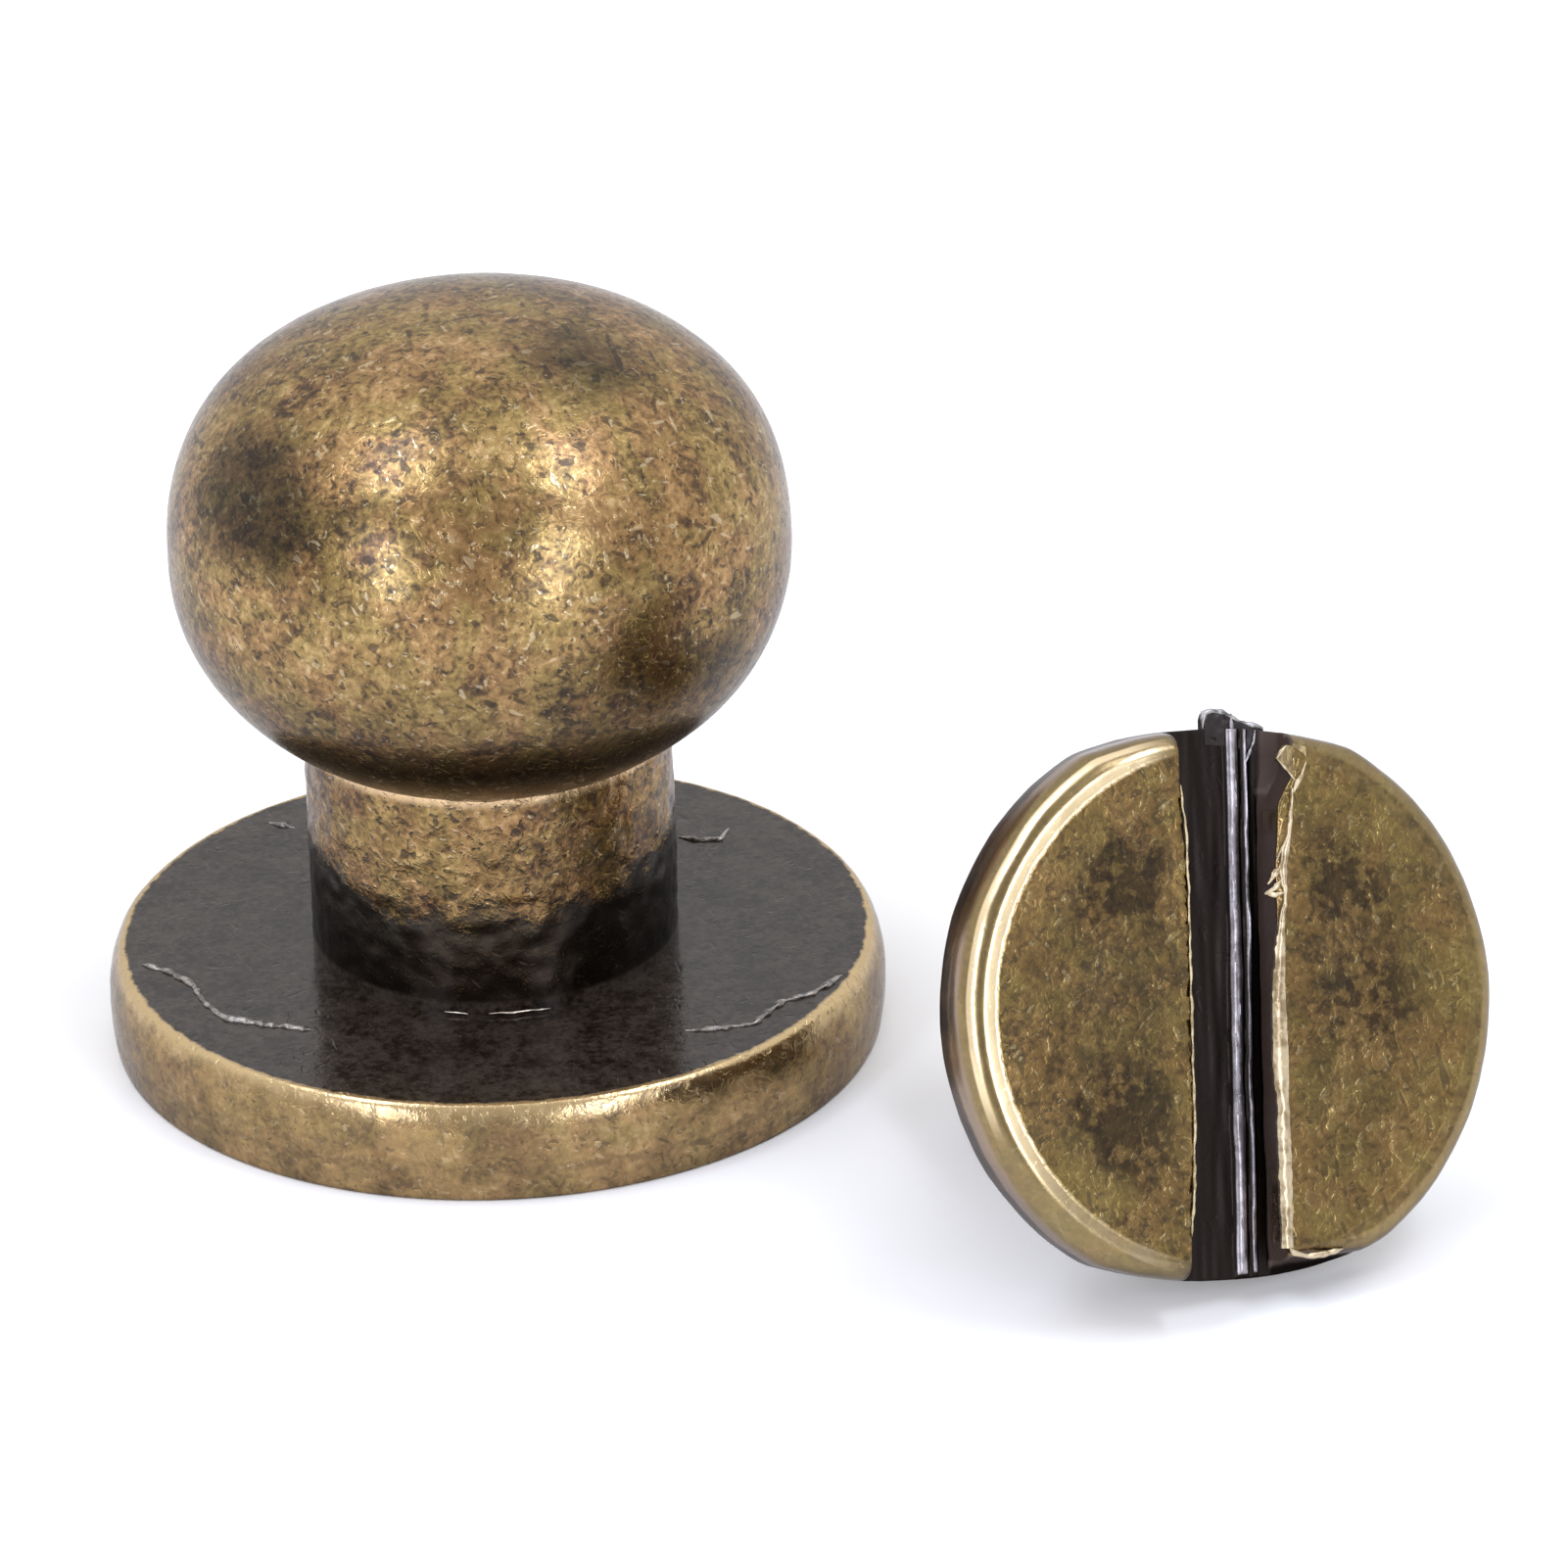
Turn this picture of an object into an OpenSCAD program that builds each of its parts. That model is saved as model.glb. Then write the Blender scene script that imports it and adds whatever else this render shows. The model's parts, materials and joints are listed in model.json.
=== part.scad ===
/* [Stud] */
// Diameter of the round flange that sits on the leather
flange_d = 10; // [8:0.5:14]
// Thickness of the flange
flange_t = 1.3; // [1:0.05:2.5]
// Height of the widest line of the flange's rounded rim
rim_widest = 0.6; // [0.4:0.05:0.8]
// How far the rounded rim reaches in over the flat top of the flange
rim_reach_top = 0.22; // [0.1:0.02:0.4]
// How far the rim draws in towards the base
rim_reach_base = 0.1; // [0.04:0.02:0.3]
// Diameter of the neck between flange and ball
neck_d = 4.7; // [4.2:0.1:6]
// Length of the neck from the flange's top to the ball's underside
neck_len = 3; // [2:0.05:4]
// Radius of the small fillet at the foot of the neck
neck_foot_r = 0.1; // [0.05:0.01:0.2]
// Widest diameter of the flattened ball
ball_d = 7.9; // [7:0.1:11]
// Height of the ball above its widest line
ball_above = 3.1; // [2.5:0.05:4.5]
// Depth of the ball below its widest line, as if its underside closed to a point
ball_below = 3.05; // [2.5:0.05:4.5]
// How square the ball's outline is above its widest line, where 2 is an ellipse
ball_square_above = 2.35; // [2:0.05:3]
// How square the ball's outline is below its widest line
ball_square_below = 2.1; // [1.6:0.05:2.4]

/* [Thread] */
// Outer diameter of the screw's thread
thread_d = 3; // [2:0.25:3]
// Pitch of the thread
thread_pitch = 0.5; // [0.35:0.05:0.6]
// Depth of the tapped hole beyond the length of the screw's shank
hole_spare = 0.2; // [0:0.1:1]
// Point angle of the drill that made the hole
drill_point = 118; // [90:1:140]

/* [Screw] */
// Length of the shank below the head
shank_len = 5; // [4:0.1:6.5]
// Length of the chamfer at the shank's tip
shank_tip = 0.3; // [0.1:0.05:0.5]
// How far the shank swells where it meets the head
shank_swell = 0.06; // [0.04:0.02:0.2]
// Diameter of the head across its full width
head_d = 7.2; // [6.9:0.1:9]
// Length of the head along the slot, where its two ends are flattened
head_slot_len = 6.8; // [5.8:0.1:7.1]
// Radius of the two flattened ends
head_end_r = 6; // [5:0.5:12]
// Thickness of the head
head_t = 0.9; // [0.8:0.05:2]
// Radius of the head's front edge
head_front_r = 0.4; // [0.1:0.05:0.6]
// Radius of the head's back edge
head_back_r = 0.08; // [0.02:0.02:0.14]
// Width of the screwdriver slot
slot_w = 1.2; // [0.6:0.05:1.5]
// Depth of the screwdriver slot
slot_depth = 0.62; // [0.3:0.02:0.7]
// Length by which the burr at the slot's upper end stands out past the head
burr_len = 0.2; // [0.1:0.05:0.6]
// Width of that burr
burr_w = 0.8; // [0.4:0.05:1]
// Thickness of that burr
burr_t = 0.2; // [0.08:0.02:0.24]
// Distance of that burr to the right of the slot's middle
burr_aside = 0.35; // [0:0.05:0.4]
// Height of the raised lip along the slot's right edge
lip_h = 0.06; // [0.02:0.02:0.12]

/* [Arrangement] */
// Gap between the flange's edge and the tip of the shank lying beside it
screw_gap = 0.8; // [0.4:0.1:6]
// Direction of that tip as seen from the stud, in degrees ahead of straight aside
tip_bearing = 18; // [0:1:60]
// Turn of the screw about the upright, away from pointing straight ahead
screw_turn = 24.5; // [0:0.5:30]
// Turn of the slot in the face of the head
slot_turn = 10.5; // [0:0.5:90]

/* [Hidden] */
$fn = 96;
// Steps in a small and in a large quarter of a curved outline
edge_steps = 8;
ball_steps = 20;
// Distance by which a cutter runs past the surface that it cuts
cut_past = 0.5;

flange_r = flange_d / 2;
neck_r = neck_d / 2;
ball_r = ball_d / 2;
head_r = head_d / 2;
thread_r = thread_d / 2;
// The tapping drill is the thread's outer diameter less one pitch
tap_r = (thread_d - thread_pitch) / 2;
hole_depth = shank_len + hole_spare;
slot_floor = head_t - slot_depth;
// A metric thread is six tenths of its pitch deep, an eighth flat on top, and cut at 60 degrees
thread_root_r = thread_r - 0.6 * thread_pitch;
thread_crest = thread_pitch / 8;
thread_flank = (thread_r - thread_root_r) * tan(30);
thread_turns = floor((shank_len - shank_tip) / thread_pitch);

// Point on an outward quarter round: angle 0 is its side, 90 its flat, and the
// two reaches are how far it draws in sideways and how high it is
function outer_round(side, start, reach, rise, angle) =
    [side - reach * (1 - cos(angle)), start + rise * sin(angle)];

// Angles of a quarter round, from a first to a last one
function angles(first, last, steps) = [for (k = [0:steps]) first + (last - first) * k / steps];

// The ball's underside stops where it has become as narrow as the neck
ball_join_angle = acos(pow(neck_r / ball_r, ball_square_below / 2));
ball_join_drop = ball_below * pow(sin(ball_join_angle), 2 / ball_square_below);
ball_z = flange_t + neck_len + ball_join_drop;

// Half of the stud's outline, from the base up to the top of the ball
rim_outline = concat(
    [for (a = angles(90, 0, edge_steps)) outer_round(flange_r, rim_widest, rim_reach_base, -rim_widest, a)],
    [for (a = angles(10, 90, edge_steps))
        outer_round(flange_r, rim_widest, rim_reach_top, flange_t - rim_widest, a)]);
foot_outline = [for (a = angles(90, 0, edge_steps))
    [neck_r + neck_foot_r * (1 - cos(a)), flange_t + neck_foot_r * (1 - sin(a))]];
under_outline = [for (a = angles(ball_join_angle, 3, ball_steps))
    [ball_r * pow(cos(a), 2 / ball_square_below), ball_z - ball_below * pow(sin(a), 2 / ball_square_below)]];
over_outline = [for (a = angles(0, 90, ball_steps))
    [ball_r * pow(cos(a), 2 / ball_square_above), ball_z + ball_above * pow(sin(a), 2 / ball_square_above)]];

// The screw lies on the back edge of its head and on the tip of its shank,
// so its tilt and height follow from its own sizes
lie_run = shank_len - shank_tip + head_back_r;
lie_rise = head_r - head_back_r - thread_r;
screw_tilt = atan2(lie_rise, lie_run) + asin(head_back_r / norm([lie_run, lie_rise]));
tip_up = thread_r * cos(screw_tilt) - shank_tip * sin(screw_tilt);
tip_reach = flange_r + screw_gap + thread_r;

// Flange, neck and ball are one solid of revolution
module stud_body() {
    rotate_extrude()
        polygon(concat([[0, 0]], rim_outline, foot_outline, under_outline, over_outline));
}

// Blind hole for the thread up the middle of the stud, with the cone that the drill leaves
module tapped_hole() {
    translate([0, 0, -cut_past]) cylinder(r = tap_r, h = hole_depth + cut_past);
    translate([0, 0, hole_depth]) cylinder(r1 = tap_r, r2 = 0, h = tap_r / tan(drill_point / 2));
}

module stud() {
    color("darkgoldenrod")
        difference() {
            stud_body();
            tapped_hole();
        }
}

// Disc with a large radius on its front edge and a small one on its back edge
module rounded_disc(r) {
    back = [for (a = angles(90, 0, edge_steps)) outer_round(r, head_back_r, head_back_r, -head_back_r, a)];
    front = [for (a = angles(0, 90, edge_steps))
        outer_round(r, head_t - head_front_r, head_front_r, head_front_r, a)];
    rotate_extrude() polygon(concat([[0, 0]], back, front, [[0, head_t]]));
}

// The wider disc that flattens one end of the head
module end_disc(side) {
    translate([0, side * (head_slot_len / 2 - head_end_r), 0]) rounded_disc(head_end_r);
}

module head_blank() {
    intersection() {
        rounded_disc(head_r);
        end_disc(1);
        end_disc(-1);
    }
}

module slot_cutter() {
    translate([-slot_w / 2, -head_d / 2 - cut_past, slot_floor])
        cube([slot_w, head_d + 2 * cut_past, slot_depth + cut_past]);
}

// Metal that the slot cutter pushed out past the head, level with the slot's floor
module end_burr() {
    translate([burr_aside - burr_w / 2, 0, max(slot_floor - burr_t, 0)])
        cube([burr_w, head_slot_len / 2 + burr_len, min(burr_t, slot_floor)]);
}

// Thin lip that stands up along the slot's right edge
module edge_lip() {
    lip_len = head_slot_len - 4 * head_front_r;
    translate([slot_w / 2, lip_len / 2, head_t])
        rotate([90, 0, 0])
            linear_extrude(lip_len)
                polygon([[0, -lip_h], [0, lip_h], [3 * lip_h, -lip_h]]);
}

// Outline of one turn of the thread, from its crest to just below the next one
function thread_turn(start) = [
    [thread_r, start],
    [thread_r, start + thread_crest],
    [thread_root_r, start + thread_crest + thread_flank],
    [thread_root_r, start + thread_pitch - thread_flank]];

// Shank with its thread, drawn as one level ring for each turn
module shank() {
    starts = [for (k = [0:thread_turns]) shank_tip - shank_len + k * thread_pitch];
    tip_outline = [[0, -shank_len], [thread_r - shank_tip, -shank_len]];
    turns_outline = [for (k = [0:thread_turns - 1]) each thread_turn(starts[k])];
    swell_r = thread_r + shank_swell;
    head_outline = [[thread_r, starts[thread_turns]], [swell_r, 0], [swell_r, slot_floor / 2], [0, slot_floor / 2]];
    rotate_extrude() polygon(concat(tip_outline, turns_outline, head_outline));
}

// The screw in its own frame: the head's back at height 0 and its face towards +Z
module upright_screw() {
    difference() {
        head_blank();
        slot_cutter();
    }
    end_burr();
    edge_lip();
    shank();
}

module screw() {
    color("peru")
        translate([tip_reach * cos(tip_bearing), -tip_reach * sin(tip_bearing), tip_up])
            rotate([0, 0, screw_turn])
                rotate([90 - screw_tilt, 0, 0])
                    rotate([0, 0, -slot_turn])
                        translate([0, 0, shank_len])
                            upright_screw();
}

stud();
screw();
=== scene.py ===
import json
import math

import bmesh
import bpy
from mathutils import Matrix, Vector, noise


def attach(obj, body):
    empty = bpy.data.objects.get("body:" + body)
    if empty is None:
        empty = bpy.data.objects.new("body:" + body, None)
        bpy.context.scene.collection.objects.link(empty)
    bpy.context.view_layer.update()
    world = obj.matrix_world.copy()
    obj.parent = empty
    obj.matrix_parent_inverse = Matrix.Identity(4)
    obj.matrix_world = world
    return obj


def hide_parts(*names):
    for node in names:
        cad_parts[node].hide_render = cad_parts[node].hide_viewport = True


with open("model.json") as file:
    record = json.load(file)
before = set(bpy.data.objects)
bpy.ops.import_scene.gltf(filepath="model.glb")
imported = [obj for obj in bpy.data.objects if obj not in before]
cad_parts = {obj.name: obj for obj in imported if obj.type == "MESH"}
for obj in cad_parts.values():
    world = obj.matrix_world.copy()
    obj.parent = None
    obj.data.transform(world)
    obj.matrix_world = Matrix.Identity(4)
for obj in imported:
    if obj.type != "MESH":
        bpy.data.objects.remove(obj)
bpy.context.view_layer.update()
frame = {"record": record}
scene = bpy.context.scene

# Camera
# A long lens looks down at the stud from the front, level with the ball's upper half, and is
# turned a little about its own axis. The place is that from which the photograph was taken.
camera_at = Vector((0.003754, -0.125291, 0.065349))
camera_down = 26.36
camera_roll = -1.6
camera_lens = 251.3
camera_nearest = 0.01

camera = bpy.data.objects.new("camera", bpy.data.cameras.new("camera"))
scene.collection.objects.link(camera)
camera.data.lens = camera_lens
camera.data.clip_start = camera_nearest
camera.matrix_world = (
    Matrix.Translation(camera_at)
    @ Matrix.Rotation(math.radians(90 - camera_down), 4, "X")
    @ Matrix.Rotation(math.radians(camera_roll), 4, "Z")
)
scene.camera = camera
scene.view_settings.view_transform = "Standard"


# Studio
# A pale floor under a soft pale sky that is a little darker in front, where the camera stands.
# A stand on the left and one on the right carry two soft boxes each, one low and one high, whose
# reflections are the four highlights on the ball.
class Sum:
    """A shader socket in plain arithmetic: sums on it add Math nodes."""

    def __init__(self, tree, socket=None):
        self.tree = tree
        self.socket = socket

    def make(self, kind, settings, inputs, output=0):
        """Adds a node. Its settings come first, then the values or links of its sockets."""
        node = self.tree.nodes.new(kind)
        for name, value in settings.items():
            if name == "stops":
                ramp = node.color_ramp.elements
                while len(ramp) < len(value):
                    ramp.new(0.5)
                for element, (place, colour) in zip(ramp, value):
                    element.position = place
                    element.color = (*colour, 1)
            else:
                setattr(node, name, value)
        for name, value in inputs.items():
            if isinstance(value, Sum):
                self.tree.links.new(value.socket, node.inputs[name])
            elif hasattr(node.inputs[name].default_value, "__len__") and len(value) < len(
                node.inputs[name].default_value
            ):
                node.inputs[name].default_value = (*value, 1)
            else:
                node.inputs[name].default_value = value
        return Sum(self.tree, node.outputs[output])

    def maths(self, operation, *values):
        return self.make("ShaderNodeMath", {"operation": operation}, dict(enumerate(values)))

    def __add__(self, other):
        return self.maths("ADD", self, other)

    def __radd__(self, other):
        return self.maths("ADD", other, self)

    def __sub__(self, other):
        return self.maths("SUBTRACT", self, other)

    def __rsub__(self, other):
        return self.maths("SUBTRACT", other, self)

    def __mul__(self, other):
        return self.maths("MULTIPLY", self, other)

    def __rmul__(self, other):
        return self.maths("MULTIPLY", other, self)

    def __pow__(self, other):
        return self.maths("POWER", self, other)

    def __abs__(self):
        return self.maths("ABSOLUTE", self)

    def step(self, low, high):
        """0 below low and 1 above high, with a soft passage between. High may lie below low."""
        return self.make(
            "ShaderNodeMapRange",
            {"interpolation_type": "SMOOTHSTEP"},
            {"Value": self, "From Min": low, "From Max": high, "To Min": 0.0, "To Max": 1.0},
        )

    def mix(self, first, second):
        """A colour between two, by this factor."""
        return self.make("ShaderNodeMix", {"data_type": "RGBA"}, {0: self, 6: first, 7: second}, 2)

    def tint(self, colour):
        """This colour times another."""
        return self.make(
            "ShaderNodeMix",
            {"data_type": "RGBA", "blend_type": "MULTIPLY"},
            {0: 1.0, 6: self, 7: colour},
            2,
        )

    def noise(self, scale, detail=3.0, roughness=0.55, distortion=0.0):
        """Cloudy noise about 0.5 at this position. Scale is in waves for each millimetre."""
        values = {"Vector": self, "Scale": scale, "Detail": detail, "Roughness": roughness}
        return self.make("ShaderNodeTexNoise", {}, {**values, "Distortion": distortion})

    def hairs(self, turn, scale, threshold):
        """Short fine hairlines in one direction: noise that is stretched along it."""
        along = self.make(
            "ShaderNodeMapping",
            {"vector_type": "TEXTURE"},
            {"Vector": self, "Rotation": turn, "Scale": (1 / scale, 4 / scale, 1 / scale)},
        )
        return along.noise(1.0, 1.0, 0.5).step(threshold, threshold + 0.08)

    def near(self, place, reach):
        """1 at a place, falling to 0 at reach millimetres from it."""
        away = self.make("ShaderNodeVectorMath", {"operation": "DISTANCE"}, {0: self, 1: place}, 1)
        return away.step(reach, 0.0)

    def part(self, axis):
        return self.make("ShaderNodeSeparateXYZ", {}, {0: self}, axis)


floor_colour, floor_rough, floor_half = (0.93, 0.93, 0.93), 0.9, 3.0
sky_front, sky_back = (0.62, 0.60, 0.58), (1.12, 1.12, 1.13)
sky_darkest, sky_palest = -0.75, 0.15
strip_away, strip_width, strip_radiance = 0.32, 0.056, 6.4
strip_colour = (0.92, 0.98, 1.16)
strips_round = Vector((0.003, -0.002, 0.005))
# Each stand of two soft boxes: name, and the directions of its foot and its top from the stud
strips = [
    ("left", (-0.50, -0.86, 0.08), (-0.30, 0.10, 0.95)),
    ("right", (0.39, -0.91, 0.08), (0.36, 0.06, 0.93)),
]
# The part of a stand's height that each of its boxes takes up
strip_parts = [("lower", 0.0, 0.45), ("upper", 0.66, 1.12)]

floor_mesh = bmesh.new()
bmesh.ops.create_grid(floor_mesh, x_segments=1, y_segments=1, size=floor_half)
floor = bpy.data.objects.new("floor", bpy.data.meshes.new("floor"))
floor_mesh.to_mesh(floor.data)
floor_mesh.free()
scene.collection.objects.link(floor)
floor_paint = bpy.data.materials.new("floor_paint")
floor_paint.use_nodes = True
paint = floor_paint.node_tree.nodes["Principled BSDF"]
paint.inputs["Base Color"].default_value = (*floor_colour, 1)
paint.inputs["Roughness"].default_value = floor_rough
floor.data.materials.append(floor_paint)

scene.world = bpy.data.worlds.new("sky")
scene.world.use_nodes = True
sky = Sum(scene.world.node_tree)
backwards = sky.make("ShaderNodeTexCoord", {}, {}, 0).part(1)
shade = backwards.step(sky_darkest, sky_palest).mix(sky_front, sky_back)
sky.tree.links.new(shade.socket, sky.tree.nodes["Background"].inputs["Color"])

for side, foot, top in strips:
    foot, top = (Vector(end).normalized() * strip_away for end in (foot, top))
    upright = (top - foot).normalized()
    towards = ((top + foot) / 2).normalized()
    sideways = upright.cross(towards).normalized()
    towards = sideways.cross(upright)
    turned = Matrix([[sideways[k], upright[k], towards[k]] for k in range(3)]).to_4x4()
    for height, start, end in strip_parts:
        name = f"soft_box_{side}_{height}"
        light = bpy.data.objects.new(name, bpy.data.lights.new(name, "AREA"))
        scene.collection.objects.link(light)
        length = (end - start) * (top - foot).length
        middle = foot.lerp(top, (start + end) / 2)
        light.data.shape = "RECTANGLE"
        light.data.size = strip_width
        light.data.size_y = length
        light.data.color = strip_colour
        light.data.energy = strip_radiance * math.pi * strip_width * length
        light.matrix_world = Matrix.Translation(strips_round + middle) @ turned

# Stud
# One piece of brass, turned or cast: round flange, neck and flattened ball, with a hole tapped up
# its middle from the base. It is plated to look old: blackened all over, then rubbed back to
# brass on the ball and on the flange's rim, while the flange's top and the neck's foot stay dark.
MM = 0.001
flange_r, flange_t = 5.0, 1.3
rim_widest, rim_reach_top, rim_reach_base = 0.6, 0.22, 0.1
neck_r, neck_len = 2.35, 3.0
ball_r, ball_above, ball_below = 3.95, 3.1, 3.05
ball_square_above, ball_square_below = 2.35, 2.1
thread_r, thread_pitch, hole_depth, hole_mouth = 1.5, 0.5, 5.2, 0.25
tap_r = thread_r - thread_pitch / 2
drill_tip = tap_r / math.tan(math.radians(59))
stud_steps = 256
stud_place = Matrix.Identity(4)
# How deep the dents are: wide and small ones on neck and ball, waves and the fold on the rim
neck_wide, neck_small, ball_wide, ball_small = 0.018, 0.022, 0.016, 0.003
rim_wave, rim_fold, rim_fold_z = 0.014, 0.020, 0.42


def spaced(first, last, count):
    """Count + 1 even values from first to last."""
    return [first + (last - first) * k / count for k in range(count + 1)]


def lathe(outline, steps):
    """A closed shape turned from an outline of (radius, height) points, from axis to axis."""
    turned = bmesh.new()
    points = [turned.verts.new((r * MM, 0, z * MM)) for r, z in outline]
    edges = [turned.edges.new(pair) for pair in zip(points, points[1:])]
    bmesh.ops.spin(
        turned,
        geom=points + edges,
        cent=(0, 0, 0),
        axis=(0, 0, 1),
        angle=2 * math.pi,
        steps=steps,
        use_merge=True,
    )
    bmesh.ops.remove_doubles(turned, verts=turned.verts, dist=1e-7)
    bmesh.ops.recalc_face_normals(turned, faces=turned.faces)
    return turned


def cut_thread(vertex, start, end, depth):
    """Moves a vertex in or out by the depth of a right-hand thread that fades at both ends."""
    x, y, z = vertex.co / MM
    turn = math.atan2(y, x) / (2 * math.pi)
    wave = (z / thread_pitch - turn) % 1.0
    tooth = min(1.0, max(0.0, 1.35 * (1 - abs(2 * wave - 1)) - 0.15))
    share = max(0.0, min((z - start) / 0.3, (end - z) / 0.3, 1.0))
    scale = 1 + depth * tooth * share / math.hypot(x, y)
    vertex.co.x *= scale
    vertex.co.y *= scale


def finish_piece(name, mesh, place, material, sharp=35):
    """Puts a shape in its place as a piece of its own, smooth but for its sharp edges."""
    mesh.transform(place)
    for face in mesh.faces:
        face.smooth = True
    for edge in mesh.edges:
        edge.smooth = not (edge.is_manifold and edge.calc_face_angle() > math.radians(sharp))
    piece = bpy.data.objects.new(name, bpy.data.meshes.new(name))
    mesh.to_mesh(piece.data)
    mesh.free()
    piece.data.materials.append(material)
    scene.collection.objects.link(piece)
    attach(piece, "root")
    return piece


ball_join = math.acos((neck_r / ball_r) ** (ball_square_below / 2))
ball_z = flange_t + neck_len + ball_below * math.sin(ball_join) ** (2 / ball_square_below)
outline = [(0, hole_depth + drill_tip), (tap_r * 0.5, hole_depth + drill_tip * 0.5)]
outline += [(tap_r, z) for z in spaced(hole_depth, hole_mouth, 80)]
outline += [(tap_r + hole_mouth * 0.5, hole_mouth * 0.5), (tap_r + hole_mouth, 0)]
outline += [(r, 0) for r in spaced(tap_r + hole_mouth + 0.4, flange_r - rim_reach_base - 0.2, 5)]
for turn in spaced(math.pi / 2, 0, 8):
    outline.append((flange_r - rim_reach_base * (1 - math.cos(turn)), rim_widest * (1 - math.sin(turn))))
for turn in spaced(0.1, math.pi / 2, 14):
    reach = rim_reach_top * (1 - math.cos(turn))
    outline.append((flange_r - reach, rim_widest + (flange_t - rim_widest) * math.sin(turn)))
outline += [(r, flange_t) for r in spaced(flange_r - rim_reach_top - 0.06, neck_r + 0.1, 30)]
outline.append((neck_r, flange_t))
outline += [(neck_r, z) for z in spaced(flange_t + 0.07, flange_t + neck_len - 0.07, 40)]
for turn in spaced(ball_join, 0.04, 34):
    drop = ball_below * math.sin(turn) ** (2 / ball_square_below)
    outline.append((ball_r * math.cos(turn) ** (2 / ball_square_below), ball_z - drop))
for turn in spaced(0, math.pi / 2, 56):
    rise = ball_above * math.sin(turn) ** (2 / ball_square_above)
    outline.append((ball_r * max(math.cos(turn), 0) ** (2 / ball_square_above), ball_z + rise))

stud_mesh = lathe(outline, stud_steps)
for vertex in stud_mesh.verts:
    x, y, z = vertex.co / MM
    r = math.hypot(x, y)
    if r < tap_r + 0.01 and hole_mouth < z < hole_depth:
        cut_thread(vertex, hole_mouth, hole_depth, thread_r - tap_r)
    elif z > flange_t + 0.2:
        on_neck = r < neck_r + 0.1 and z < flange_t + neck_len
        lumps = noise.noise(vertex.co / MM * (1.9 if on_neck else 0.7))
        small = noise.noise(vertex.co / MM * 5.2 + Vector((7, 3, 1)))
        wide, fine = (neck_wide, neck_small) if on_neck else (ball_wide, ball_small)
        dent = wide * lumps + fine * small
        vertex.co += Vector((x, y, 0.4 * (z - ball_z))).normalized() * (dent - 0.006) * MM
    elif z > 0.05 and r > flange_r - rim_reach_top - 0.05:
        wave = noise.noise(vertex.co / MM * 1.1) + 0.5 * noise.noise(vertex.co / MM * 4.5)
        fold_z = rim_fold_z + 0.12 * noise.noise(Vector((x, y, 0)) * 1.6)
        fold = max(0, 1 - abs(z - fold_z) / 0.10)
        fold *= max(0, 0.4 + noise.noise(Vector((x, y, 8)) * 1.2))
        vertex.co += Vector((x, y, 0)).normalized() * (rim_wave * (wave - 0.7) - rim_fold * fold) * MM

glint_cream = (0.80, 0.66, 0.43)
brass_bright = (0.55, 0.395, 0.205)
brass_worn = (0.375, 0.245, 0.100)
brass_olive = (0.240, 0.152, 0.058)
patina_brown = (0.115, 0.069, 0.031)
patina_dark = (0.042, 0.026, 0.014)
underside_light_brass = (0.92, 0.68, 0.40)
foot_brown, foot_black = (0.034, 0.022, 0.013), (0.015, 0.012, 0.009)
rim_brown, rim_brass = (0.135, 0.088, 0.038), (0.345, 0.230, 0.098)
lacquer_black, lacquer_brown = (0.010, 0.006, 0.004), (0.048, 0.037, 0.029)
edge_brass_highlight = (0.66, 0.49, 0.26)


def metal(name, origin, turn):
    """A new metal material: its shader node, and the position on the piece in millimetres."""
    material = bpy.data.materials.new(name)
    material.use_nodes = True
    tree = material.node_tree
    shader = tree.nodes["Principled BSDF"]
    shader.inputs["Metallic"].default_value = 1.0
    shader.inputs["Specular Tint"].default_value = (0.50, 0.49, 0.50, 1)
    shader.inputs["Coat Weight"].default_value = 0.75
    shader.inputs["Coat Roughness"].default_value = 0.26
    place = Sum(tree).make("ShaderNodeTexCoord", {}, {}, 3)
    place = place.make(
        "ShaderNodeMapping",
        {"vector_type": "TEXTURE"},
        {"Vector": place, "Location": origin, "Rotation": turn, "Scale": (MM, MM, MM)},
    )
    return material, shader, place


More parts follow.
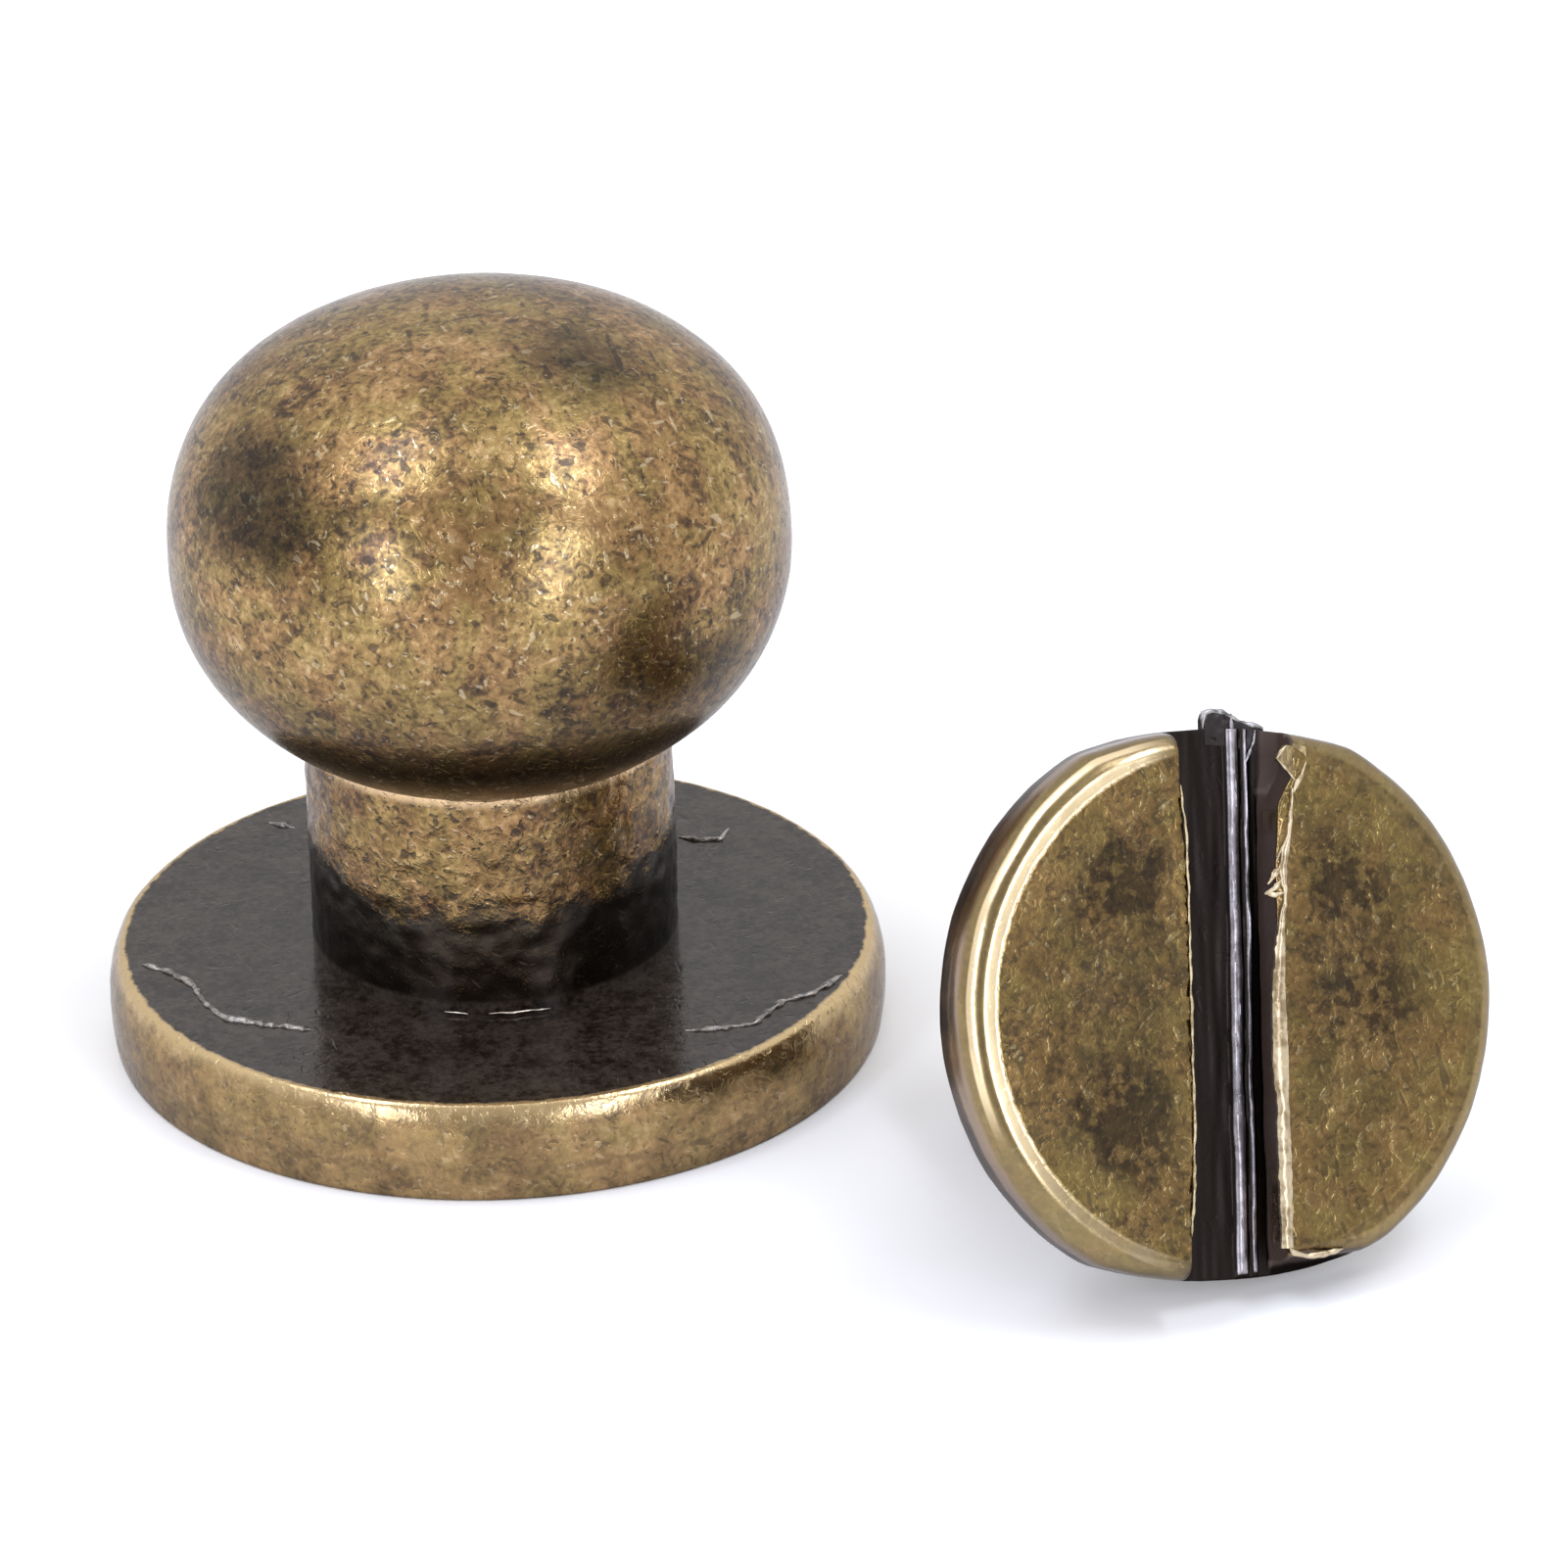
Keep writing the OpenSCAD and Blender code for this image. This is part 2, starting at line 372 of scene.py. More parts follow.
def rubbed_brass(place):
    """Colour, roughness and height of blackened brass that was rubbed back all over."""
    cloud = place.noise(0.55, 2, 0.5)
    blotch = place.noise(2.2, 2, 0.55, 0.5)
    grain = place.noise(5.0, 3, 0.6, 1.0)
    fine = place.noise(11.5, 2, 0.6, 0.6)
    tone = 0.22 * cloud + 0.14 * blotch + 0.38 * grain + 0.26 * fine
    colour = tone.make(
        "ShaderNodeValToRGB",
        {
            "stops": [
                (0.365, patina_dark),
                (0.430, patina_brown),
                (0.490, brass_olive),
                (0.560, brass_worn),
                (0.640, brass_bright),
            ]
        },
        {0: tone},
    )
    red_or_green = place.noise(1.5, 2, 0.5, 0.6).step(0.38, 0.62)
    colour = colour.tint(red_or_green.mix((1.05, 0.95, 0.92), (0.97, 1.00, 0.84)))
    pits = place.noise(7.5, 2, 0.5, 1.2).step(0.64, 0.69)
    pits = pits + place.hairs((0.3, 0.9, 0.5), 7.0, 0.66) + place.hairs((0.5, -0.2, 1.9), 7.0, 0.665)
    pits = pits.step(0.0, 1.0)
    colour = (0.7 * pits).mix(colour, patina_dark)
    # Pale flecks and hairlines: painted glints, with light scratches among them
    glints_and_scratches = place.noise(10.0, 1, 0.5, 1.5).step(0.67, 0.74)
    glints_and_scratches = glints_and_scratches + place.hairs((0.6, 0.4, 0.8), 9.0, 0.68) + place.hairs((-0.4, 0.3, -0.9), 9.0, 0.68)
    glints_and_scratches = glints_and_scratches.step(0.0, 1.0)
    colour = (0.38 * glints_and_scratches).mix(colour, glint_cream)
    rough = 0.34 - 0.08 * tone.step(0.42, 0.60) + 0.12 * pits - 0.06 * glints_and_scratches
    height = 0.010 * blotch + 0.009 * grain + 0.0035 * fine - 0.006 * pits + 0.002 * glints_and_scratches
    return colour, rough, height


def wear(shader, colour, rough, height):
    """Gives a metal its colour, roughness and height, in millimetres."""
    tree = shader.id_data
    bump = height.make("ShaderNodeBump", {}, {"Strength": 1.0, "Distance": MM, "Height": height})
    tree.links.new(colour.socket, shader.inputs["Base Color"])
    tree.links.new(rough.socket, shader.inputs["Roughness"])
    tree.links.new(bump.socket, shader.inputs["Normal"])


stud_brass, shader, place = metal("antique_brass_stud", (0, 0, 0), (0, 0, 0))
colour, rough, height = rubbed_brass(place)
x, y, z = place.part(0), place.part(1), place.part(2)
r = (x * x + y * y) ** 0.5
ragged = place.noise(1.7, 4, 0.6)
jagged = place.noise(5.0, 3, 0.6)
# Patches of the ball that kept more of their black
patches = 1.0 * place.near((-2.75, -2.0, 8.5), 1.7)
patches = patches + 0.5 * place.near((-2.3, -2.8, 8.3), 0.8)
patches = patches + 0.55 * place.near((3.0, -2.4, 6.2), 1.2)
patches = patches + 0.8 * place.near((1.4, -0.9, 9.7), 1.7)
patches = patches + 0.8 * place.near((0.6, 3.4, 7.6), 1.8)
patches = (patches * (0.3 + 1.4 * (0.6 * ragged + 0.4 * jagged))).step(0.10, 0.85)
colour = (0.93 * patches).mix(colour, colour.tint((0.22, 0.22, 0.20)))
# Painted shade darkens the ball's lower half, and painted light turns its underside in front to
# pale brass down to the neck
low = z.step(7.6, 5.6) * z.step(4.6, 5.1)
colour = (0.7 * low).mix(colour, colour.tint((0.46, 0.44, 0.42)))
underside_light = z.step(5.2, 4.4) * z.step(4.15, 4.3) * r.step(4.2, 3.0) * abs(x).step(2.9, 2.0)
colour = (0.9 * underside_light).mix(colour, underside_light_brass)
# The neck is lumpier than the rest, and its foot is black, with a ragged border
on_neck = r.step(2.75, 2.5) * z.step(1.45, 1.7) * z.step(4.9, 4.4)
foot = z + 1.1 * (ragged - 0.5) + 0.5 * (jagged - 0.5) - 0.3 * (abs(x)).step(0.8, 2.2)
foot = foot.step(2.80, 2.40) * r.step(2.75, 2.6)
colour = (0.6 * on_neck).mix(colour, colour.tint((0.66, 0.59, 0.53)))
foot_colour = abs(x).step(0.6, 1.3).mix(foot_brown, foot_black)
colour = (0.95 * foot).mix(colour, foot_colour)
# Paler brass on the rim, with less of the black in it
on_rim = r.step(4.6, 4.75) * z.step(1.6, 1.5)
colour = (0.55 * on_rim).mix(colour, ragged.step(0.38, 0.62).mix(rim_brown, rim_brass))
# The flange's top is black and smooth like lacquer, up to the rubbed edge
edge_r = flange_r - rim_reach_top - 0.02
on_top = r + 0.12 * (jagged - 0.5) + 0.05 * (ragged - 0.5)
flange_top = z.step(flange_t - 0.16, flange_t - 0.03) * z.step(1.5, 1.42)
flange_top = flange_top * on_top.step(edge_r + 0.05, edge_r - 0.03)
mottled = 0.3 * ragged + 0.3 * jagged + 0.4 * place.noise(12.0, 2, 0.6)
mottled = mottled.step(0.38, 0.62)
colour = flange_top.mix(colour, mottled.mix(lacquer_black, lacquer_brown))
rough = rough + flange_top * (0.13 - rough + 0.05 * mottled)
height = height * (1 - 0.6 * flange_top) * (1 - 0.65 * foot) * (1 + 1.7 * on_neck)
# Brass left bright on the edge of the flat top, and made brighter as a painted highlight along it
rubbed_edge_highlight = on_top.step(edge_r - 0.02, edge_r + 0.03) * on_top.step(edge_r + 0.20, edge_r + 0.08)
rubbed_edge_highlight = rubbed_edge_highlight * z.step(0.95, 1.12)
colour = (0.75 * rubbed_edge_highlight).mix(colour, edge_brass_highlight)
# A darker line along the fold of the rim
fold_z = z - 0.25 * (ragged - 0.5)
fold = fold_z.step(0.34, 0.42) * fold_z.step(0.52, 0.44)
colour = (0.5 * fold * on_rim * jagged.step(0.4, 0.55)).mix(colour, patina_brown)
rough = rough - 0.06 * on_rim
# The hole kept most of its black
inside = r.step(1.72, 1.6) * z.step(7.0, 6.8)
colour = (0.8 * inside).mix(colour, patina_dark)
wear(shader, colour, rough, height)
lacquered = 1 - 0.85 * flange_top
shader.id_data.links.new(lacquered.socket, shader.inputs["Metallic"])
shader.id_data.links.new((0.5 - 0.5 * flange_top).socket, shader.inputs["Coat Weight"])

stud = finish_piece("stud_body", stud_mesh, stud_place, stud_brass)
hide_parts("stud")

# Flaked plating
# The dark plating on the flange's top broke into flakes, whose ragged edges stand up a little,
# and along the front of the neck's foot a thin bright raised line is a painted highlight on the crease.
flake_r, foot_highlight_r, foot_highlight_up = 0.042, 0.015, 0.045
flake_colours = (0.12, 0.11, 0.10), (0.36, 0.33, 0.30)
foot_highlight_colours = (0.45, 0.38, 0.29), (0.80, 0.72, 0.60)
# Each path: a list of (radius, angle in degrees) on the flange's top
flake_edges = [
    [
        (4.58, -170.8),
        (4.30, -167.4),
        (4.09, -161.3),
        (4.12, -153.0),
        (4.10, -146.1),
        (3.82, -139.5),
        (3.51, -130.4),
    ],
    [
        (3.83, -50.7),
        (4.14, -45.2),
        (4.34, -40.7),
        (4.31, -36.2),
        (4.30, -31.4),
        (4.54, -27.1),
        (4.61, -23.2),
        (4.69, -19.3),
    ],
    [(3.42, 46.3), (3.55, 41.9), (3.75, 39.4), (4.07, 41.9)],
    [(4.42, 132.9), (4.08, 131.1)],
]
foot_highlight_paths = [
    [(2.43, -104.6), (2.42, -101.0), (2.44, -97.5)],
    [(2.44, -91.5), (2.42, -88.0), (2.44, -84.0), (2.42, -79.0), (2.45, -73.2)],
]

# Ragged lines and edges are drawn from this seed, because vector noise starts from the clock
noise.seed_set(11)


def raised_line(name, paths, thick, place, material, flat=1.0, level=0.0, jitter=0.02):
    """Ragged raised lines along paths of points (x, y, z) in millimetres, half sunk in a surface."""
    curve = bpy.data.curves.new(name, "CURVE")
    curve.dimensions = "3D"
    curve.bevel_depth = thick * MM
    curve.bevel_resolution = 2
    curve.use_fill_caps = True
    for path in paths:
        points = [Vector(path[0])]
        for start, end in zip(path, path[1:]):
            pieces = max(2, round((Vector(end) - Vector(start)).length / 0.045))
            points += [Vector(start).lerp(Vector(end), k / pieces) for k in range(1, pieces + 1)]
        spline = curve.splines.new("POLY")
        spline.points.add(len(points) - 1)
        for k, (spot, point) in enumerate(zip(spline.points, points)):
            shake = noise.noise_vector(point * 6.0) * jitter
            spot.co = (*((point + Vector((shake.x, shake.y, 0))) * MM), 1)
            ends = min(1.0, (k + 1) / 4, (len(points) - k) / 4)
            spot.radius = ends * (1 + 0.8 * noise.noise(point * 9.0))
    line = bpy.data.objects.new(name, curve)
    scene.collection.objects.link(line)
    shaped = bpy.data.meshes.new_from_object(line.evaluated_get(bpy.context.evaluated_depsgraph_get()))
    bpy.data.objects.remove(line)
    mesh = bmesh.new()
    mesh.from_mesh(shaped)
    for vertex in mesh.verts:
        vertex.co.z = (level + (vertex.co.z / MM - level) * flat) * MM
    bmesh.ops.recalc_face_normals(mesh, faces=mesh.faces)
    return finish_piece(name, mesh, place, material, 80)


def around(path, z):
    """A path of (radius, angle) as points at one height."""
    return [(r * math.cos(math.radians(a)), r * math.sin(math.radians(a)), z) for r, a in path]


def speckled(name, place, scale, border, colours, rough, height):
    """A metal for a placed piece: a fine speckle of two colours, which also sets roughness and height."""
    material, shader, place = metal(name, place.to_translation(), place.to_euler())
    speckle = place.noise(scale, 3, 0.6)
    colour = speckle.step(*border).mix(*colours)
    wear(shader, colour, rough[0] + rough[1] * speckle, height * speckle)
    return material


flake_metal = speckled("flake_edge", stud_place, 9.0, (0.4, 0.6), flake_colours, (0.30, 0.2), 0.01)
paths = [around(path, flange_t) for path in flake_edges]
flakes = raised_line("flake_edges", paths, flake_r, stud_place, flake_metal)

# Painted highlight: a thin pale raised line on the crease at the front of the neck's foot
foot_highlight_metal = speckled("foot_highlight_brass", stud_place, 7.0, (0.38, 0.58), foot_highlight_colours, (0.26, 0.2), 0.012)
paths = [around(path, flange_t + foot_highlight_up) for path in foot_highlight_paths]
foot_highlight = raised_line("foot_highlight_line", paths, foot_highlight_r, stud_place, foot_highlight_metal)

# Screw
# One piece of brass: a thin round head with a milled slot and a threaded shank, lying on its
# head's back edge and its tip. Its two slot ends are flattened, and the cutter left the slot
# black, with two ridges on its floor that carry painted highlights.
head_r, head_slot_len, head_end_r, head_t = 3.6, 6.8, 6.0, 0.9
head_front_r, head_front_reach, head_back_r = 0.4, 0.30, 0.08
shank_len, shank_tip, shank_swell = 5.0, 0.3, 0.06
slot_w, slot_depth = 1.2, 0.62
slot_floor = head_t - slot_depth
ridge_wide, ridge_thin = 0.285, 0.46
ridge_wide_h, ridge_thin_h = 0.05, 0.031
# How far the slot's walls lean out, its upper right corner is cut, and the lower lobe is cut back
wall_lean, corner_cut, lobe_cut = 0.07, 0.20, 0.24
# How deep the dents are, and how far all is drawn in: on the rim as a share, and on the face
rim_dents, face_dents = (0.004, 0.0012, 0.0075), (0.010, 0.003, 0.024)
screw_steps = 224
even_brown, even_brass = (0.118, 0.082, 0.030), (0.200, 0.145, 0.052)
edge_gold = (0.27, 0.200, 0.090)
inner_highlight_cream, outer_highlight_cream = (0.88, 0.70, 0.42), (0.90, 0.71, 0.44)
side_mauve, back_black, back_brown = (0.36, 0.26, 0.195), (0.034, 0.026, 0.023), (0.085, 0.058, 0.038)
slot_black, wall_light_brown = (0.020, 0.016, 0.014), (0.060, 0.040, 0.032)
ridge_highlight_grey, ridge_highlight_pale = (0.28, 0.26, 0.272), (0.43, 0.40, 0.42)

# The head's underside is a mount of the frame: its normal and a point 2.5 mm aside give the place
mount = next(m for m in frame["record"]["mounts"] if m["name"] == "head_underside")
mount_aside = 2.5 * MM
face_axis = -Vector(mount["axis"]).normalized()
across = Vector((-face_axis.y, face_axis.x, 0)).normalized()
upward = face_axis.cross(across)
head_back = Vector(mount["pos_m"]) - across * mount_aside
slot_turn = math.radians(10.5)
screw_place = Matrix.Translation(head_back) @ Matrix(
    [[across[k], upward[k], face_axis[k], 0] for k in range(3)] + [[0, 0, 0, 1]]
)
screw_place = screw_place @ Matrix.Rotation(-slot_turn, 4, "Z")


def head_reach(angle):
    """The head's radius in a direction, with its two slot ends flattened."""
    middle = head_end_r - head_slot_len / 2
    reach = head_r
    for side in (1, -1):
        along = side * math.sin(angle)
        flat_end = math.sqrt(head_end_r**2 - (middle * math.cos(angle)) ** 2) - middle * along
        reach = min(reach, flat_end)
    return reach


outline = [(0, -shank_len)]
outline += [(r, -shank_len) for r in spaced(0.5, thread_r - shank_tip, 3)]
outline += [(thread_r, z) for z in spaced(shank_tip - shank_len, -0.2, 78)]
outline += [(thread_r + shank_swell, 0)]
outline += [(r, 0) for r in spaced(thread_r + 0.2, head_r - head_back_r - 0.05, 12)]
for turn in spaced(math.pi / 2, 0, 5):
    reach = head_back_r * (1 - math.cos(turn))
    outline.append((head_r - reach, head_back_r * (1 - math.sin(turn))))
outline += [(head_r, z) for z in spaced(head_back_r + 0.06, head_t - head_front_r - 0.06, 4)]
for turn in spaced(0, math.pi / 2, 16):
    reach = head_front_reach * (1 - math.cos(turn))
    outline.append((head_r - reach, head_t - head_front_r * (1 - math.sin(turn))))
outline += [(r, head_t) for r in spaced(head_r - head_front_reach - 0.08, 0.1, 30)]
outline += [(0, head_t)]

screw_mesh = lathe(outline, screw_steps)
for vertex in screw_mesh.verts:
    x, y, z = vertex.co / MM
    r = math.hypot(x, y)
    if z < -0.03:
        if r > thread_r - 0.01:
            cut_thread(vertex, shank_tip - shank_len - 0.1, -0.1, -0.6 * thread_pitch)
        continue
    share = (r / head_r) ** 4
    scale = 1 - share * (1 - head_reach(math.atan2(y, x)) / head_r)
    x, y = x * scale, y * scale
    # The lobes are cut back at the slot's ends, more on the lower right
    if z > slot_floor + 0.02:
        lower = max(0, 1 - abs(x - 0.9) / 1.2) * max(0, (-y - 2.6) / 0.8)
        y += lobe_cut * lower
    wave = noise.noise(Vector((x, y, z)) * 1.3 + Vector((20, 0, 0)))
    small = noise.noise(Vector((x, y, z)) * 5.0 + Vector((0, 20, 0)))
    scale = 1 + (rim_dents[0] * wave + rim_dents[1] * small - rim_dents[2]) * share
    if z > slot_floor:
        z += face_dents[0] * wave + face_dents[1] * small - face_dents[2]
    vertex.co = Vector((x * scale, y * scale, z)) * MM

cutter_mesh = bmesh.new()
bmesh.ops.create_cube(cutter_mesh, size=1)
for axis, cuts in ((1, 170), (0, 55), (2, 7)):
    edges = [e for e in cutter_mesh.edges if abs(e.verts[0].co[axis] - e.verts[1].co[axis]) > 0.5]
    bmesh.ops.subdivide_edges(cutter_mesh, edges=edges, cuts=cuts, use_grid_fill=True)
cutter_top = head_t + 0.5
for vertex in cutter_mesh.verts:
    x = vertex.co.x * slot_w
    y = vertex.co.y * (2 * head_r + 1)
    z = slot_floor + (vertex.co.z + 0.5) * (cutter_top - slot_floor)
    if abs(vertex.co.x) > 0.499:
        torn = noise.noise(Vector((x * 3, y * 1.6, 5))) + 0.5 * noise.noise(Vector((x * 3, y * 7, 9)))
        x += 0.018 * torn
        # Both walls lean out towards the slot's ends, most at the upper end of the right one
        if z > slot_floor + 0.1:
            x += math.copysign(wall_lean, x) * min(1, max(0, (abs(y) - 1.7) / 1.0))
            x += corner_cut * min(1, max(0, (y - 2.45) / 0.35)) * (x > 0)
    elif vertex.co.z < -0.499:
        wander = 0.02 * noise.noise(Vector((0, y * 0.7, 3)))
        wander += 0.007 * noise.noise(Vector((1, y * 2.6, 3)))
        lean = 0.02 * y / 3.4
        thick = 0.060 + 0.012 * noise.noise(Vector((2, y * 1.7, 3)))
        aside = abs(x - ridge_wide - wander - lean) / (1.7 * thick)
        z += ridge_wide_h * min(1, max(0, 1.6 * (1 - aside)))
        aside = abs(x - ridge_thin - wander - lean) / 0.048
        z += ridge_thin_h * min(1, max(0, 1.6 * (1 - aside)))
        z += 0.008 * noise.noise(Vector((x * 9, y * 0.9, 2)))
    vertex.co = Vector((x, y, z)) * MM
bmesh.ops.recalc_face_normals(cutter_mesh, faces=cutter_mesh.faces)

screw_brass, shader, place = metal(
    "antique_brass_screw", screw_place.to_translation(), screw_place.to_euler()
)
colour, rough, height = rubbed_brass(place)
x, y, z = place.part(0), place.part(1), place.part(2)
r = (x * x + y * y) ** 0.5
ragged = place.noise(1.5, 4, 0.6)
jagged = place.noise(6.0, 3, 0.6)
# The head is rubbed more evenly than the stud, and less far
even = ragged.step(0.4, 0.6).mix(even_brown, even_brass)
colour = (0.15 + 0.2 * ragged).mix(colour.tint((0.65, 0.65, 0.50)), even)
# A dark cloud in the middle of each half of the face, which the rubbing missed
side_way = abs(x)
cloud = (r + 1.5 * (ragged - 0.5) + 0.6 * (jagged - 0.5)).step(3.15, 2.4)
cloud = side_way.step(0.62, 1.0) * cloud * z.step(head_t - 0.2, head_t - 0.1)
cloud = cloud * (0.3 + 0.7 * (0.6 * ragged + 0.4 * jagged).step(0.42, 0.56))
missed = place.near((-1.45, 1.70, head_t), 1.1) + 0.9 * place.near((-1.60, -1.40, head_t), 1.2)
missed = missed + 0.8 * place.near((1.50, 1.50, head_t), 0.9) + 0.8 * place.near((1.70, 0.0, head_t), 1.0)
cloud = (cloud * (0.5 + missed)).step(0.0, 1.0)
colour = cloud.mix(colour, colour.tint((0.26, 0.235, 0.22)))
# Its rounded front edge is smooth and golden, with two painted highlights as bright arcs on the left
edge = (r + 0.05 * (jagged - 0.5)).step(3.13, 3.19) * z.step(0.1, 0.4)
left_edge = x.step(-0.6, -1.4) * (0.25 + 0.75 * y.step(-2.7, -1.2))
inner_highlight_arc = edge * left_edge * r.step(3.345, 3.305)
outer_highlight_arc = edge * left_edge * y.step(-1.7, -0.7) * z.step(0.72, 0.75) * z.step(0.83, 0.80)
colour = (0.6 * edge * (0.35 + 0.65 * r.step(3.30, 3.36))).mix(colour, edge_gold)
colour = (0.95 * inner_highlight_arc).mix(colour, inner_highlight_cream)
colour = (0.95 * outer_highlight_arc).mix(colour, outer_highlight_cream)
height = height * (1 - 0.85 * edge)
rough = rough + edge * (0.27 - rough)
# Mauve brown on the side of the rim, and black on its back edge and the head's back
band = (z + 0.16 * (ragged - 0.5)).step(0.66, 0.54)
colour = (0.8 * band).mix(colour, side_mauve)
back = (z + 0.2 * (ragged - 0.5)).step(0.38, 0.26)
colour = (0.9 * back).mix(colour, ragged.step(0.4, 0.6).mix(back_black, back_brown))
# The shank kept its black between the threads, and is rubbed on their crests and on its tip
crest = z.step(-0.04, -0.12) * r.step(thread_r - 0.24, thread_r - 0.08)
tip = z.step(-4.90, -4.98) * r.step(1.35, 0.9)
colour = (0.35 * (tip + crest) + 0.5 * (tip + crest) * jagged).mix(colour, brass_worn)
rough = rough + 0.1 * back
# Black slot, with painted highlights on the two ridges the cutter left on its floor
widened = 0.26 * y.step(2.3, 2.8) * x.step(0.0, 0.1)
in_slot = (side_way - widened).step(slot_w / 2 + 0.05, slot_w / 2 + 0.02)
in_slot = in_slot * z.step(head_t - 0.03, head_t - 0.08) * z.step(slot_floor - 0.12, slot_floor - 0.06)
cut_away = y.step(-2.85, -3.05) * x.step(0.4, 0.5) * x.step(1.9, 1.5)
cut_away = cut_away * z.step(head_t - 0.12, head_t - 0.2)
in_slot = (in_slot + cut_away).step(0.0, 1.0)
colour = in_slot.mix(colour, slot_black)
# Painted light: the slot's right wall is paler brown and less metallic, lifting the shadow under the lip
slot_wall_light = in_slot * x.step(0.53, 0.57) * z.step(slot_floor + 0.02, slot_floor + 0.05)
colour = slot_wall_light.mix(colour, wall_light_brown)
rough = rough + in_slot * (0.36 - rough)
height = height * (1 - 0.7 * in_slot)
# Painted highlights: pale grey on the tops of the two ridges, where the lights reflect
ridge_highlight = in_slot * z.step(slot_floor + 0.018, slot_floor + 0.032)
ridge_highlight = ridge_highlight * z.step(slot_floor + 0.10, slot_floor + 0.08)
ridge_highlight = ridge_highlight * side_way.step(slot_w / 2 - 0.04, slot_w / 2 - 0.08)
colour = (0.95 * ridge_highlight).mix(colour, jagged.step(0.40, 0.60).mix(ridge_highlight_grey, ridge_highlight_pale))
wear(shader, colour, rough, height)
shader.id_data.links.new((0.5 - 0.5 * in_slot).socket, shader.inputs["Coat Weight"])
shader.id_data.links.new((1 - 0.9 * slot_wall_light).socket, shader.inputs["Metallic"])

screw = finish_piece("screw_body", screw_mesh, screw_place, screw_brass)
cutter = finish_piece("slot_cutter", cutter_mesh, screw_place, screw_brass)
cut = screw.modifiers.new("slot", "BOOLEAN")
cut.operation = "DIFFERENCE"
cut.solver = "EXACT"
cut.object = cutter
shaped = bpy.data.meshes.new_from_object(screw.evaluated_get(bpy.context.evaluated_depsgraph_get()))
screw.modifiers.clear()
screw.data = shaped
bpy.data.objects.remove(cutter)
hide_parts("screw")

# Torn lip
# The slot's right edge kept a thin lip of bare brass that hangs over the slot, torn into teeth
# near its upper end and running round the lower corner. The left edge has only a fine bright line.
tooth_r, end_r, line_r = 0.042, 0.032, 0.018
lip_colours = (0.30, 0.22, 0.12), (0.58, 0.475, 0.31)
line_colours = (0.24, 0.18, 0.085), (0.50, 0.41, 0.24)
# Each row: place along the slot, and the lip's two sides
lip_rows = [
    (2.63, 0.80, 0.84),
    (2.30, 0.77, 0.83),
    (2.08, 0.73, 0.80),
    (1.85, 0.66, 0.77),
    (1.68, 0.61, 0.74),
    (1.40, 0.66, 0.73),
    (1.21, 0.65, 0.72),
    (1.02, 0.60, 0.69),
    (0.68, 0.55, 0.68),
    (0.20, 0.49, 0.66),
    (-0.42, 0.48, 0.68),
    (-0.96, 0.47, 0.68),
    (-1.08, 0.52, 0.67),
    (-1.45, 0.51, 0.68),
    (-2.16, 0.52, 0.69),
    (-2.69, 0.53, 0.68),
    (-2.98, 0.53, 0.68),
]
lip_teeth = [
    [(0.70, 1.96, 0.91), (0.64, 1.84, 0.89), (0.60, 1.74, 0.88)],
    [(0.66, 1.70, 0.91), (0.57, 1.58, 0.88), (0.48, 1.47, 0.85)],
    [(0.67, 1.55, 0.91), (0.56, 1.42, 0.88), (0.44, 1.34, 0.84)],
    [(0.69, 1.36, 0.91), (0.57, 1.33, 0.88), (0.46, 1.35, 0.85)],
]
lip_lines = [
    [(1.03, 2.92, 0.87), (0.97, 2.78, 0.89), (0.89, 2.69, 0.90), (0.83, 2.56, 0.91)],
    [(1.02, 3.12, 0.80), (1.04, 3.00, 0.84), (1.03, 2.90, 0.88)],
    [
        (0.62, -2.96, 0.90),
        (0.70, -3.04, 0.86),
        (0.89, -3.09, 0.83),
        (1.11, -3.08, 0.82),
        (1.4, -3.02, 0.80),
    ],
]
left_line = [
    (-0.655, 2.70, 0.89),
    (-0.64, 2.45, 0.89),
    (-0.60, 2.12, 0.89),
    (-0.59, 1.51, 0.89),
    (-0.59, 0.00, 0.89),
    (-0.59, -1.45, 0.89),
    (-0.61, -2.12, 0.89),
    (-0.66, -2.78, 0.88),
]

lip_mesh = bmesh.new()
bmesh.ops.create_cube(lip_mesh, size=1)
for axis, cuts in ((1, 240), (0, 5), (2, 1)):
    edges = [e for e in lip_mesh.edges if abs(e.verts[0].co[axis] - e.verts[1].co[axis]) > 0.5]
    bmesh.ops.subdivide_edges(lip_mesh, edges=edges, cuts=cuts, use_grid_fill=True)
for vertex in lip_mesh.verts:
    y = lip_rows[-1][0] + (vertex.co.y + 0.5) * (lip_rows[0][0] - lip_rows[-1][0])
    above = max(k for k in range(len(lip_rows) - 1) if lip_rows[k][0] >= y - 1e-6)
    upper_row, lower_row = lip_rows[above], lip_rows[above + 1]
    share = (upper_row[0] - y) / (upper_row[0] - lower_row[0])
    left = upper_row[1] + share * (lower_row[1] - upper_row[1])
    right = upper_row[2] + share * (lower_row[2] - upper_row[2])
    left += 0.022 * noise.noise(Vector((0, y * 5, 1))) + 0.012 * noise.noise(Vector((0, y * 14, 1)))
    right += 0.010 * noise.noise(Vector((4, y * 8, 1)))
    x = left + (vertex.co.x + 0.5) * (right - left)
    crown = 0.030 * (1 - (2 * vertex.co.x) ** 2) + 0.008 * noise.noise(Vector((x * 12, y * 12, 2)))
    z = head_t + 0.005 + crown if vertex.co.z > 0.4 else head_t - 0.05
    vertex.co = Vector((x, y, z if abs(vertex.co.z) > 0.4 else head_t - 0.02)) * MM
bmesh.ops.recalc_face_normals(lip_mesh, faces=lip_mesh.faces)

